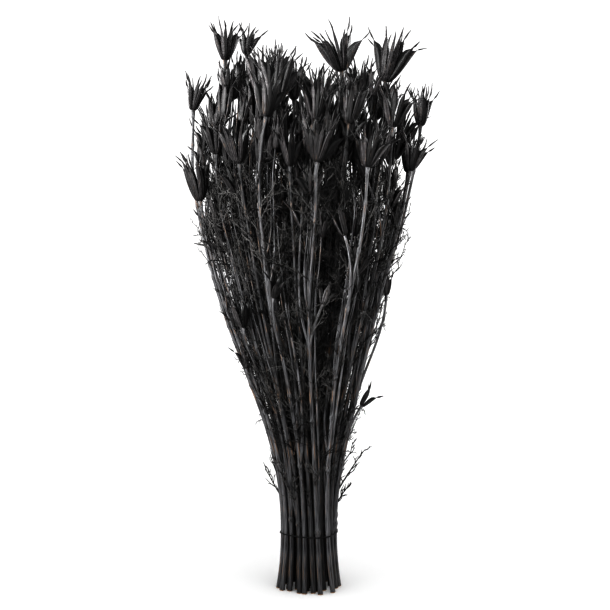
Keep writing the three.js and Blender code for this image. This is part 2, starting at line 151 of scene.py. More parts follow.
# How the stems stand
# The stems were gathered in one hand, laid in a slight spiral and tied, so they stand close at the waist,
# flare below it and fan out above it. Each one's place comes from where its main pod stands, with the pod's
# length, how far it opens and how far it leans to the right in degrees.
HEADS = np.array([
    [-80, -15, 507, 41, 33, -2],
    [-63, 14, 519, 33, 30, 8],
    [-28, -60, 456, 52, 30, -2],
    [29, -10, 497, 50, 39, -15],
    [50, 22, 474, 50, 26, 0],
    [73, -15, 485, 55, 33, 8],
    [106, 5, 447, 42, 20, -5],
    [79, -45, 437, 44, 36, 4],
    [96, -24, 399, 40, 24, -1],
    [-112, 5, 462, 38, 26, 8],
    [-84, -38, 413, 43, 30, 0],
    [-104, -20, 371, 51, 17, -1],
    [-60, -70, 399, 46, 38, 0],
    [-41, -86, 437, 44, 28, 0],
    [6, -66, 439, 42, 32, 4],
    [37, -58, 437, 46, 36, 0],
    [4, -104, 395, 43, 34, 3],
    [-15, -84, 395, 40, 30, -4],
    [8, -34, 446, 46, 32, -3],
    [50, -88, 393, 42, 32, 5],
    [-48, -28, 470, 50, 24, -3],
    [-14, -24, 466, 44, 26, 2],
    [-97, 40, 440, 42, 28, -4],
    [-40, 68, 462, 46, 32, 0],
    [-30, 8, 490, 40, 24, 0],
    [0, 0, 464, 44, 28, 0],
    [15, 38, 474, 44, 32, 4],
    [-5, 75, 462, 46, 32, -4],
    [35, 72, 480, 44, 30, 0],
    [70, 45, 462, 48, 32, 5],
    [98, 30, 405, 42, 24, 0],
    [66, 78, 425, 44, 32, 4],
    [25, 101, 408, 42, 30, 0],
    [-25, 98, 418, 44, 32, -2],
    [-66, 80, 395, 42, 30, -4],
    [-68, 46, 478, 42, 36, -3],
], float)
STEMS = len(HEADS)
WAIST_HEIGHT = 53
WAIST_RADIUS = 24.6
FOOT_FLARE = 4.4
FAN_WIDTH = 80.8
FAN_HEIGHTS = (60, 430)
SPIRAL_ANGLE = 0.25
SPIRAL_TOP = 180
SWAY = -7  # how far the middle of the bunch sags to one side
SWAY_FROM = (120, 300)
SWAY_TO = (380, 480)
STEM_PITCH = 0.235  # least spacing of two stems, as a share of the bunch's radius
PRESS_ROUNDS = 30
BOW = 0.025  # how far a stem wanders, as a share of the bunch's radius
BOW_LENGTH = 330
STEM_FOOT_RADIUS = 2.4
STEM_TIP_RADIUS = 1.2


def scatter(index, prime):
    """Number from 0 to 1 for an index, spread evenly with no pattern: the fraction of index + 1 times a
    prime's root."""
    return (index + 1) * math.sqrt(prime) % 1


def between(low, high, share):
    return low + (high - low) * share


def smooth(value, low, high):
    """Smooth rise from 0 at low to 1 at high: three times the share squared less twice its cube."""
    share = np.clip((value - low) / (high - low), 0, 1)
    return share * share * (3 - 2 * share)


def unit(vectors):
    return vectors / np.linalg.norm(vectors, axis=-1, keepdims=True)


def bunch_radius(height):
    """Waist radius, plus a smooth fan above the tie, plus a flare below it that grows with the square of
    the drop."""
    flare = np.maximum(0, 1 - height / WAIST_HEIGHT) ** 2
    return WAIST_RADIUS + FAN_WIDTH * smooth(height, *FAN_HEIGHTS) + FOOT_FLARE * flare


def sway(height):
    return SWAY * smooth(height, *SWAY_FROM) * (1 - smooth(height, *SWAY_TO))


def press_apart(spots):
    """Moves stems that stand too close straight apart, in shares of the bunch's radius, round after
    round."""
    for _ in range(PRESS_ROUNDS):
        for one in range(STEMS):
            for other in range(one):
                apart = spots[one] - spots[other]
                distance = math.hypot(*apart)
                if distance < STEM_PITCH:
                    push = apart * (STEM_PITCH - distance) / 2 / distance
                    spots[one] += push
                    spots[other] -= push
    return spots


head_heights = HEADS[:, 2]
head_places = np.stack([HEADS[:, 0] - sway(head_heights), HEADS[:, 1]], -1)
spots = press_apart(head_places / bunch_radius(head_heights)[:, None])


def stem_point(stem, height):
    """Axis of a stem at some heights: its spot turned by the spiral lay, plus a slow sine wander, times the
    bunch's radius there, plus the sag to one side."""
    turn = SPIRAL_ANGLE * (1 - smooth(height, 0, SPIRAL_TOP))
    wander = 2 * np.pi * height / BOW_LENGTH
    x, y = spots[stem]
    across = x * np.cos(turn) - y * np.sin(turn) + BOW * np.sin(wander + 2 * np.pi * scatter(stem, 2))
    deep = x * np.sin(turn) + y * np.cos(turn) + BOW * np.sin(wander + 2 * np.pi * scatter(stem, 3))
    radius = bunch_radius(height)
    return np.stack([across * radius + sway(height), deep * radius, height + np.zeros_like(across)], -1)


def stem_radius(stem, height):
    return between(STEM_FOOT_RADIUS, STEM_TIP_RADIUS, height / head_heights[stem])


# Room in the bunch
# The follicles of a pod open only as far as the stems and pods round them let them, and side shoots and
# leaves grow into the room that is left. Rods along every stem and follicle stand for what fills it.
GAP = 0.5
STEM_STEPS = 8
POD_ROOM = 8  # radius kept free round a pod's axis before its follicles open
POD_ROOM_SHARE = 0.7  # and how much of the pod's length that is for
POD_LEAN = 0.05  # lean of the outermost pods to the front or back
POD_TILT = 0.2  # range of the pods' tilt to the front or back
STRETCH = 20  # last length of a stem that gives its pod's axis
PARALLEL = 1e-9


class Rods:
    """The straight stretches that fill the bunch: stem, start, end and radius of each."""

    def __init__(self):
        self.rows = np.empty((0, 8))

    def add(self, stem, start, end, radius):
        self.rows = np.vstack([self.rows, [stem, *start, *end, radius]])

    def room(self, stem, start, end, radius):
        """Least distance from a stretch to another stem's rods, less both radii, between the nearest points
        of the two lines held to their ends."""
        others = self.rows[self.rows[:, 0] != stem]
        own = end - start
        along = others[:, 4:7] - others[:, 1:4]
        apart = start - others[:, 1:4]
        own_length = own @ own
        length = (along * along).sum(1)
        cross = along @ own
        own_back = apart @ own
        back = (along * apart).sum(1)
        spread = own_length * length - cross * cross
        safe = np.where(spread > PARALLEL, spread, 1)
        own_share = np.where(spread > PARALLEL, np.clip((cross * back - own_back * length) / safe, 0, 1), 0)
        free = (cross * own_share + back) / length
        share = np.clip(free, 0, 1)
        held = np.clip((cross * share - own_back) / own_length, 0, 1)
        own_share = np.where(share != free, held, own_share)
        gap = apart + own * own_share[:, None] - along * share[:, None]
        return (np.linalg.norm(gap, axis=1) - radius - others[:, 7]).min()


def main_pod_axis(stem):
    """The stem's last stretch, leant to the right by the pod's own lean and a little to the front or
    back."""
    top = head_heights[stem]
    axis = unit(stem_point(stem, top) - stem_point(stem, top - STRETCH))
    axis[0] += math.radians(HEADS[stem, 5])
    axis[1] += POD_LEAN * spots[stem, 1] + POD_TILT * (scatter(stem, 53) - 0.5)
    return unit(axis)


rods = Rods()
for stem in range(STEMS):
    heights = np.array([0, *np.linspace(WAIST_HEIGHT, head_heights[stem], STEM_STEPS)])
    places = stem_point(stem, heights)
    for step in range(STEM_STEPS):
        rods.add(stem, places[step], places[step + 1], stem_radius(stem, heights[step]))
    rods.add(stem, places[-1], places[-1] + POD_ROOM_SHARE * HEADS[stem, 3] * main_pod_axis(stem), POD_ROOM)


# How the pods open
# A pod is a ring of follicles, each a seed case that stood upright when green and has bent out as it dried.
# A main pod has eleven to fourteen of them, and a small one three to seven.
FEWEST_FOLLICLES = 11
MORE_FOLLICLES = 3.2
BEAK_LENGTH = 12.5
LONGEST_BEAK_SHARE = 0.32
BEAK_BEND = 0.08
BELLY_AT = 0.52
BULGE = 0.12
SHOULDER_DROP = 0.72
SHOULDER_INSIDE = 0.35
OPENINGS = (1, 0.8, 0.62, 0.46, 0.32)  # shares of its opening that a follicle tries until it is clear
LEAST_OPENING = 0.16
OPENING_RANGE = (0.7, 1.1)
BODY_ROD = 3.6
BEAK_ROD = 1.2
CORE_ROD = 1.5
FOLLICLE = np.dtype([
    ("stem", int), ("foot", float, 3), ("axis", float, 3), ("bearing", float),
    ("angle", float), ("body", float), ("beak", float), ("count", int),
])
follicles = []


def follicle_frame(axis, bearing, angle):
    """Directions of follicles: radial from the pod's axis, along the follicle, outward across it, and
    sideways."""
    axis, bearing, angle = np.asarray(axis), np.asarray(bearing)[..., None], np.asarray(angle)[..., None]
    first = unit(np.array([1.0, 0, 0]) - axis * axis[..., :1])
    radial = np.cos(bearing) * first + np.sin(bearing) * np.cross(axis, first)
    along = np.cos(angle) * axis + np.sin(angle) * radial
    outward = np.cos(angle) * radial - np.sin(angle) * axis
    return radial, along, outward, np.cross(axis, radial)


def open_pod(stem, foot, axis, length, opening, count, turn):
    """Opens a pod's follicles one by one, each as wide as the stems and pods round it leave room for."""
    beak = min(BEAK_LENGTH, LONGEST_BEAK_SHARE * length)
    body = length - beak
    stretches = []
    for index in range(count):
        bearing = turn + 2 * math.pi * index / count
        own = between(*OPENING_RANGE, scatter(index + 10 * turn, 71))
        for share in OPENINGS:
            angle = max(LEAST_OPENING, opening * own * share)
            _, along, outward, _ = follicle_frame(axis, bearing, angle)
            belly = foot + BELLY_AT * body * along + 0.5 * BULGE * body * outward
            corner = foot + body * along
            tip = corner + beak * follicle_frame(axis, bearing, angle + BEAK_BEND)[1]
            tried = ((foot, belly, BODY_ROD), (belly, corner, BODY_ROD), (corner, tip, BEAK_ROD))
            if min(rods.room(stem, *stretch) for stretch in tried) > GAP:
                break
        stretches += tried
        follicles.append((stem, foot, axis, bearing, angle, body, beak, count))
    core = SHOULDER_INSIDE * body * math.sin(opening) + CORE_ROD
    rods.add(stem, foot, foot + SHOULDER_DROP * body * axis, core)
    for stretch in stretches:
        rods.add(stem, *stretch)


for stem, (_, _, height, length, degrees, _) in enumerate(HEADS):
    count = FEWEST_FOLLICLES + int(MORE_FOLLICLES * scatter(stem, 7))
    turn = 2 * math.pi * scatter(stem, 11)
    open_pod(stem, stem_point(stem, height), main_pod_axis(stem), length, math.radians(degrees), count, turn)


# Side shoots
# Thin shoots that leave a stem along it, bend away and end in a small pod. A few stand out from the side of
# the bunch: the small pod's foot, its length, its lean in degrees and how far below it its shoot leaves a
# stem.
SMALL_HEADS = (
    (-79, -20, 324, 34, -62, 64),
    (-60, -15, 213, 26, -8, 48),
    (69, 0, 306, 28, 38, 48),
    (74, -10, 283, 25, 2, 119),
    (51, -6, 176, 25, 34, 48),
)
SMALL_HEAD_OPENING = 0.5
SMALL_HEAD_FOLLICLES = 3
SMALL_POD_ROOM = 5
SMALL_POD_LENGTHS = (24, 37)
SMALL_POD_OPENINGS = (0.4, 0.6)
SMALL_POD_FOLLICLES = 4
SHOOTS = 27
SHOOT_HEIGHTS = (0.36, 0.8)  # where they leave their stem, as shares of its height
SHOOT_RISES = (48, 96)
SHOOT_REACH = (0.15, 0.25)  # how far out they end, as a share of the bunch's radius
SHOOT_LEANS = (0.1, 0.5)
SHOOT_RUNS = (0.4, 0.35)  # shares of its span that a shoot runs along its stem and into its pod's axis
SHOOT_STRIDE = 11
SHOOT_RADIUS = 1.25
SHOOT_TIP_RADIUS = 1
SHOOT_STEPS = 4
SHOOT_BEARINGS = 24
SHOOT_BOUND = 1.05
CURVE_POINTS = 201  # of a curve whose length is measured
shoots = []


def bezier(controls, share):
    """Bezier curve of any order at some shares of its parameter: its control points joined in pairs again
    and again."""
    points = np.broadcast_to(controls[:, None], (len(controls), len(share), 3))
    while len(points) > 1:
        points = points[:-1] + (points[1:] - points[:-1]) * share[:, None]
    return points[0]


def spaced(controls, steps):
    """Points at even distances along a Bezier curve."""
    share = np.linspace(0, 1, CURVE_POINTS)
    stretches = np.linalg.norm(np.diff(bezier(controls, share), axis=0), axis=1)
    run = np.concatenate([[0], np.cumsum(stretches)])
    return bezier(controls, np.interp(np.linspace(0, run[-1], steps + 1), run, share))


def shoot_to(stem, height, foot, axis):
    """Control points of a shoot: out along its stem for a share of its span, and into its pod's axis for
    another."""
    start = stem_point(stem, height)
    span = np.linalg.norm(foot - start)
    rise = unit(stem_point(stem, height + 10) - start)
    along_stem, into_pod = SHOOT_RUNS
    return np.array([start, start + along_stem * span * rise, foot - into_pod * span * axis, foot])


def shoot_room(stem, controls, axis, length, pod_room):
    places = spaced(controls, SHOOT_STEPS)
    pod = rods.room(stem, places[-1], places[-1] + length * axis, pod_room)
    stretches = [places[step : step + 2] for step in range(1, SHOOT_STEPS)]
    return min(pod, *(rods.room(stem, *stretch, SHOOT_RADIUS) for stretch in stretches))


def leaning(bearing, lean):
    return np.array([math.sin(lean) * math.cos(bearing), math.sin(lean) * math.sin(bearing), math.cos(lean)])


def grow_shoot(stem, controls, axis, length, opening, count, turn):
    places = spaced(controls, SHOOT_STEPS)
    for step in range(SHOOT_STEPS):
        rods.add(stem, places[step], places[step + 1], SHOOT_RADIUS)
    shoots.append((stem, controls))
    open_pod(stem, places[-1], axis, length, opening, count, turn)


for index, (x, y, z, length, degrees, rise) in enumerate(SMALL_HEADS):
    foot = np.array([x, y, z], float)
    axis = leaning(0, math.radians(degrees))
    ways = [(stem, shoot_to(stem, z - rise, foot, axis)) for stem in range(STEMS)]
    clear = [way for way in ways if shoot_room(*way, axis, length, SMALL_POD_ROOM) > GAP]
    if clear:
        nearest = min(clear, key=lambda way: np.linalg.norm(way[1][3] - way[1][0]))
        grow_shoot(*nearest, axis, length, SMALL_HEAD_OPENING, SMALL_HEAD_FOLLICLES + index % 2, 0)

for index in range(SHOOTS):
    stem = index * SHOOT_STRIDE % STEMS
    height = head_heights[stem] * between(*SHOOT_HEIGHTS, scatter(index, 13))
    end = height + between(*SHOOT_RISES, scatter(index, 17))
    out = bunch_radius(end) * between(*SHOOT_REACH, scatter(index, 19))
    length = between(*SMALL_POD_LENGTHS, scatter(index, 23))
    lean = between(*SHOOT_LEANS, scatter(index, 37))
    best = (GAP,)
    for bearing in 2 * np.pi * np.arange(SHOOT_BEARINGS) / SHOOT_BEARINGS:
        foot = stem_point(stem, end) + out * leaning(bearing, math.pi / 2)
        if math.hypot(foot[0] - sway(end), foot[1]) > SHOOT_BOUND * bunch_radius(end):
            continue
        axis = leaning(bearing, lean)
        controls = shoot_to(stem, height, foot, axis)
        room = shoot_room(stem, controls, axis, length, POD_ROOM)
        if room > best[0]:
            best = (room, controls, axis)
    if len(best) > 1:
        opening = between(*SMALL_POD_OPENINGS, scatter(index, 29))
        count = SMALL_POD_FOLLICLES + int(2 * scatter(index, 31))
        grow_shoot(stem, *best[1:], length, opening, count, index)


# Side stalks
# Thin dry branches that fork off a stem at its knuckles and run up beside it. The first two of a stem, and
# a few that reach the crown, end in a small pod. The others have only their thread leaves left.
SIDE_STALKS = 9
STALKS_WITH_PODS = 5
LOW_PODS = 2  # of those, the ones that bear a pod at any height; the others bear one in the crown alone
CROWN_FROM = 395
CROWN_REACH = (0.88, 1)  # how high the crown's go, as shares of their stem's height
CROWN_POD_EXTRA = 8  # how much longer their pods are
PODDED_FROM = (0.45, 0.75)  # where stalks with pods fork off, as shares of their stem's height
PODDED_REACH = (0.5, 1)  # and how much of the way up from there they go
SIDE_POD_FOLLICLES = (5, 8)
SIDE_POD_LENGTHS = (24, 38)
SIDE_POD_OPENINGS = (0.4, 0.65)
SIDE_STALK_FROM = 62
SIDE_STALK_TO = 0.74  # highest fork of a bare one, as a share of its stem's height
BELOW_HEAD = 14
SIDE_STALK_LENGTHS = (70, 190)
SIDE_STALK_OUT = (5, 15)
SIDE_STALK_WAVE = (0.4, 1.6)
SIDE_STALK_WAVES = 1.6
SIDE_STALK_RADII = (0.7, 1.6)
SIDE_STALK_TAPER = 0.5
SIDE_STALK_ARC = 4  # power by which its way out levels off
BARE_TIP_TAPER = 0.75
BARE_TIP_FROM = 0.5
SIDE_STALK_RINGS = 16
SIDE_STALK_SIDES = 5
LOW_FORK = 5  # the one that forks off low and is thick
FORK_HEIGHTS = (60, 118)
FORK_JITTER = (-3, 9)
FORK_LENGTHS = (150, 240)
FORK_RADIUS = 1.8
OUTER = (0.7, 0.95)  # from here outwards, as shares of the bunch's radius, stems stand alone
INWARD_SWING = 0.35  # share of a full turn, about the inward way, that an outer stem's side stalks have
BOUND = 1.0  # share of the bunch's radius beyond which side stalks and leaves are pressed in
BOUND_WAVE = 0.1
BOUND_LOBES = 5
BOUND_LENGTHS = (17, 29)
CROWN_BOUND = 0.2  # how much further in they are pressed among the pods
CROWN_HEIGHTS = (330, 400)
PRESSED = 0.4  # how much of its reach beyond the bound a point keeps
rng = np.random.default_rng(20)


def side_stalk_paths(stem):
    """Axes of a stem's side stalks: the stem's own axis from a knuckle upwards, moved out to one side by an
    arc that levels off, with slow waves across it."""
    top = head_heights[stem] - BELOW_HEAD
    low = between(SIDE_STALK_FROM, SIDE_STALK_TO * top, rng.random((SIDE_STALKS, 1)))
    low[:STALKS_WITH_PODS] = top * rng.uniform(*PODDED_FROM, (STALKS_WITH_PODS, 1))
    high = np.minimum(low + rng.uniform(*SIDE_STALK_LENGTHS, (SIDE_STALKS, 1)), top)
    reach = between(low, top, rng.uniform(*PODDED_REACH, (SIDE_STALKS, 1)))
    high[:STALKS_WITH_PODS] = reach[:STALKS_WITH_PODS]
    high[LOW_PODS:STALKS_WITH_PODS] = top * rng.uniform(*CROWN_REACH, (STALKS_WITH_PODS - LOW_PODS, 1))
    low[LOW_FORK] = FORK_HEIGHTS[stem % 2] + rng.uniform(*FORK_JITTER)
    high[LOW_FORK] = low[LOW_FORK] + rng.uniform(*FORK_LENGTHS)
    run = np.linspace(0, 1, SIDE_STALK_RINGS)
    outward = math.atan2(spots[stem, 1], spots[stem, 0])
    free = between(1, INWARD_SWING, smooth(math.hypot(*spots[stem]), *OUTER))
    bearing = outward + math.pi * (1 + free * rng.uniform(-1, 1, (SIDE_STALKS, 1)))
    bearing[LOW_FORK] = outward + math.pi * rng.choice([-0.5, 0.5])
    out = rng.uniform(*SIDE_STALK_OUT, (SIDE_STALKS, 1)) * (1 - (1 - run) ** SIDE_STALK_ARC)
    wave = rng.uniform(*SIDE_STALK_WAVE, (SIDE_STALKS, 1))
    wave = wave * np.sin(2 * np.pi * (SIDE_STALK_WAVES * run + rng.random((SIDE_STALKS, 1)))) * run
    paths = stem_point(stem, between(low, high, run))
    paths[..., 0] += out * np.cos(bearing) - wave * np.sin(bearing)
    paths[..., 1] += out * np.sin(bearing) + wave * np.cos(bearing)
    return paths


def pressed_in(paths):
    """Draws points that stand out beyond the bunch's radius back towards it, to a share of how far they
    stood out."""
    centre = np.stack([sway(paths[..., 2]), 0 * paths[..., 2]], -1)
    reach = (paths[..., :2] - centre) / bunch_radius(paths[..., 2])[..., None]
    far = np.linalg.norm(reach, axis=-1, keepdims=True)
    bearing = np.arctan2(reach[..., 1:], reach[..., :1])
    lobe_length, swell_length = BOUND_LENGTHS
    lobes = np.sin(BOUND_LOBES * bearing + paths[..., 2:] / lobe_length)
    bound = BOUND + BOUND_WAVE * lobes * np.sin(paths[..., 2:] / swell_length)
    bound = bound - CROWN_BOUND * smooth(paths[..., 2:], *CROWN_HEIGHTS)
    kept = np.where(far > bound, bound + PRESSED * (far - bound), far) / far
    level = centre + kept * reach * bunch_radius(paths[..., 2])[..., None]
    return np.concatenate([level, paths[..., 2:]], -1)


def bears_pod(stem):
    """Which of a stem's side stalks end in a pod: the first ones, and those of the next few that reach the
    crown."""
    order = np.arange(SIDE_STALKS)
    return (order < LOW_PODS) | ((order < STALKS_WITH_PODS) & (side_stalks[stem][:, -1, 2] > CROWN_FROM))


side_stalks = [pressed_in(side_stalk_paths(stem)) for stem in range(STEMS)]
for stem in range(STEMS):
    for index in np.flatnonzero(bears_pod(stem)):
        path = side_stalks[stem][index]
        axis = unit(path[-1] - path[-4])
        count = int(rng.integers(*SIDE_POD_FOLLICLES))
        length = rng.uniform(*SIDE_POD_LENGTHS) + CROWN_POD_EXTRA * (index >= LOW_PODS)
        open_pod(stem, path[-1], axis, length, rng.uniform(*SIDE_POD_OPENINGS), count, int(index))

follicles = np.array(follicles, FOLLICLE)


# Stalks
# The dried stalk of each stem and of its side shoots: a ridged, woody straw that was dyed black in a bath.
# It swells at the knuckles where leaves grew, bends a little at each, and its cut end shows the tan wood
# under the dye.
MM = 0.001
KNUCKLE_SPACING = (38, 72)
KNUCKLE_SWELL = 0.38
KNUCKLE_HALF_LENGTH = 2.4
KNUCKLE_KINK = 0.9
KNUCKLE_RINGS = np.array([-1.6, -0.7, 0, 0.7, 1.6])  # where rings lie over a knuckle, in half lengths
MOST_KNUCKLES = 12
BARE_OF_KNUCKLES = 8  # length under the pod
RING_SPACING = 8
STALK_SIDES = 10
RIDGE = 0.05  # height of every second side's ridge, as a share of the stalk's radius
NECK_LENGTH = 12
NECK_SWELL = 0.9  # how much thicker a stalk is where its pod stands on it
NECK_RINGS = np.array([0.7, 0.35, 0])
SHOOT_RINGS = 14
SHOOT_SIDES = 8
SHOOT_NECK_FROM = 0.88
SHOOT_NECK_SWELL = 0.5
SHOOT_GRAIN = (1000, 200)  # where the grain of the first shoot starts, and the step to the next one
SIDE_STALK_GRAIN = 2000
CUT_DEPTH = 0.35
SHEEN = 0.2  # gloss of the dried skin, of the shader's scale
INNER_SHADE_SPAN = (0.7, 1.0)  # shares of the bunch's radius over which the painted shade of the inner stalks lifts
STALK_TONES = (0.6, 1.0)
INNER_PAINTED_SHADE = 0.15  # share of its tone that a stalk deep inside the bunch keeps: painted shade
TOP_TONE = 0.68  # of a stalk's top beside its foot: painted light, as the foot is painted paler where the boxes' light falls less
STREAK_SIZE = (0.5, 0.5, 50 / 3)  # across, through and along the stalk
STREAK_DEPTH = 0.3
SCUFF_SIZE = (10 / 9, 10 / 9, 20)
STALK_BLACK = "0a0a0a"
# Pale of the rubbed ridges and of the painted highlight on them.
STALK_GREY = "6d6d6f"
STALK_BROWN = "6b5645"
CUT_TAN = "9a7d62"


def rings_along(paths, radii, sides, reference, grain_start=0.0):
    """Round skins along paths. A ring's points lie round its path point, on the direction nearest to a
    reference and the one across it. Returns the points and their straightened coordinates, round and along
    the path."""
    along = unit(np.gradient(paths, axis=1))
    first = unit(reference - along * (along * reference).sum(-1, keepdims=True))
    second = np.cross(along, first)
    angle = 2 * np.pi * np.arange(sides) / sides
    round_x = radii * np.cos(angle)
    round_y = radii * np.sin(angle)
    points = paths[:, :, None] + round_x[..., None] * first[:, :, None]
    points = points + round_y[..., None] * second[:, :, None]
    steps = np.linalg.norm(np.diff(paths, axis=1, prepend=paths[:, :1]), axis=-1)
    run = np.cumsum(steps, axis=1)[..., None] + grain_start
    grain = np.stack([round_x, round_y, np.broadcast_to(run, round_x.shape)], -1)
    return points, grain


def skin_faces(count, rings, sides):
    """Faces of closed skins: quads between neighbouring rings, and a cap on both ends."""
    side = np.arange(sides)
    first = np.arange(count)[:, None] * rings * sides
    low = first[:, :, None] + np.arange(rings - 1)[:, None] * sides
    near = low + side
    far = low + np.roll(side, -1)
    quads = np.stack([near, far, far + sides, near + sides], -1).reshape(-1, 4)
    caps = np.vstack([first + side[::-1], first + (rings - 1) * sides + side])
    return quads, caps


def make_piece(name, skins, material, node):
    """One mesh of skins, each with its points, its grain coordinates and its tone, riding on the bunch's
    body in the place of its stem's solid."""
    points = np.concatenate([skin[0].reshape(-1, 3) for skin in skins])
    grain = np.concatenate([skin[1].reshape(-1, 3) for skin in skins])
    tone = np.concatenate([np.broadcast_to(skin[2], skin[0].shape[:3]).ravel() for skin in skins])
    faces = []
    start = 0
    for skin in skins:
        faces += [face + start for face in skin_faces(*skin[0].shape[:3])]
        start += skin[0].size // 3
    corners = np.concatenate([face.ravel() for face in faces])
    sizes = np.concatenate([np.full(len(face), face.shape[1]) for face in faces])
    mesh = bpy.data.meshes.new(name)
    mesh.vertices.add(len(points))
    mesh.vertices.foreach_set("co", (points * MM).ravel())
    mesh.loops.add(len(corners))
    mesh.loops.foreach_set("vertex_index", corners)
    mesh.polygons.add(len(sizes))
    mesh.polygons.foreach_set("loop_start", np.cumsum(sizes) - sizes)
    mesh.polygons.foreach_set("use_smooth", sizes == 4)
    mesh.attributes.new("grain", "FLOAT_VECTOR", "POINT").data.foreach_set("vector", grain.ravel())
    # For stalks and pods the tone holds painted light and shade besides their own tone.
    mesh.attributes.new("tone", "FLOAT", "POINT").data.foreach_set("value", tone)
    mesh.update(calc_edges=True)
    mesh.validate()
    mesh.materials.append(material)
    piece = bpy.data.objects.new(name, mesh)
    bpy.context.scene.collection.objects.link(piece)
    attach(piece, "root")
    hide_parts(node)


def stalk_knuckles(stem):
    """Heights of a stem's knuckles: its low fork, and spacings from a fixed range added up from there."""
    spacing = between(*KNUCKLE_SPACING, scatter(np.arange(MOST_KNUCKLES) + 40 * stem, 59))
    fork = side_stalks[stem][LOW_FORK, 0, 2]
    heights = fork + np.concatenate([[0], np.cumsum(spacing)])
    return heights[heights < head_heights[stem] - BARE_OF_KNUCKLES]


def make_stalk(stem):
    """Skin of a stalk. Its radius is the stem's taper, times a bell-shaped swelling at each knuckle, plus
    the neck's smooth growth, with every second side raised to a ridge. Its axis turns by a small kink at
    each knuckle."""
    top = head_heights[stem]
    knuckles = stalk_knuckles(stem)
    close = knuckles[:, None] + KNUCKLE_HALF_LENGTH * KNUCKLE_RINGS
    foot = np.array([0, CUT_DEPTH, 2 * CUT_DEPTH])
    neck = top - NECK_LENGTH * NECK_RINGS
    even = np.arange(RING_SPACING, top - NECK_LENGTH, RING_SPACING)
    heights = np.unique(np.concatenate([foot, even, close.ravel(), neck]))
    heights = heights[heights <= top]
    bell = np.exp(-(((heights[:, None] - knuckles) / KNUCKLE_HALF_LENGTH) ** 2)).sum(1)
    radius = stem_radius(stem, heights) * (1 + KNUCKLE_SWELL * bell)
    radius += NECK_SWELL * smooth(heights, top - NECK_LENGTH, top)
    bends = np.concatenate([[0], knuckles, [top]])
    kink = np.zeros((2, len(bends)))
    series = np.arange(len(knuckles) - 1) + 30 * np.array([[stem], [stem + 7]])
    kink[:, 2:-1] = KNUCKLE_KINK * (2 * scatter(series, 67) - 1)
    path = stem_point(stem, heights)
    path[:, 0] += np.interp(heights, bends, kink[0])
    path[:, 1] += np.interp(heights, bends, kink[1])
    ridged = 1 + RIDGE * (-1.0) ** np.arange(STALK_SIDES)
    radii = radius[None, :, None] * ridged
    points, grain = rings_along(path[None], radii, STALK_SIDES, np.array([1.0, 0, 0]))
    points[..., 2] = np.maximum(points[..., 2], 0)
    return points, grain


def make_shoots(stem):
    """Skins of a stem's shoots, tapered, with a neck under the pod."""
    own = [controls for owner, controls in shoots if owner == stem]
    share = np.linspace(0, 1, SHOOT_RINGS)
    radius = between(SHOOT_RADIUS, SHOOT_TIP_RADIUS, share)
    radius = radius + SHOOT_NECK_SWELL * smooth(share, SHOOT_NECK_FROM, 1)
    radii = radius[None, :, None] * np.ones(SHOOT_SIDES)
    start, step = SHOOT_GRAIN
    for order, controls in enumerate(own):
        path = spaced(controls, SHOOT_RINGS - 1)[None]
        yield rings_along(path, radii, SHOOT_SIDES, np.array([0, 1.0, 0]), start + step * order)


def make_side_stalks(stem):
    """Skins of a stem's side stalks, tapered, and drawn out to a thin tip where they bear no pod."""
    foot = between(*SIDE_STALK_RADII, scatter(np.arange(SIDE_STALKS) + 20 * stem, 109))[:, None, None]
    foot[LOW_FORK] = FORK_RADIUS
    run = np.linspace(0, 1, SIDE_STALK_RINGS)[None, :, None]
    bare = ~bears_pod(stem)[:, None, None]
    tip = 1 - BARE_TIP_TAPER * bare * smooth(run, BARE_TIP_FROM, 1)
    radii = foot * between(1, SIDE_STALK_TAPER, run) * tip * np.ones(SIDE_STALK_SIDES)
    return rings_along(side_stalks[stem], radii, SIDE_STALK_SIDES, np.array([0, 1.0, 0]), SIDE_STALK_GRAIN)


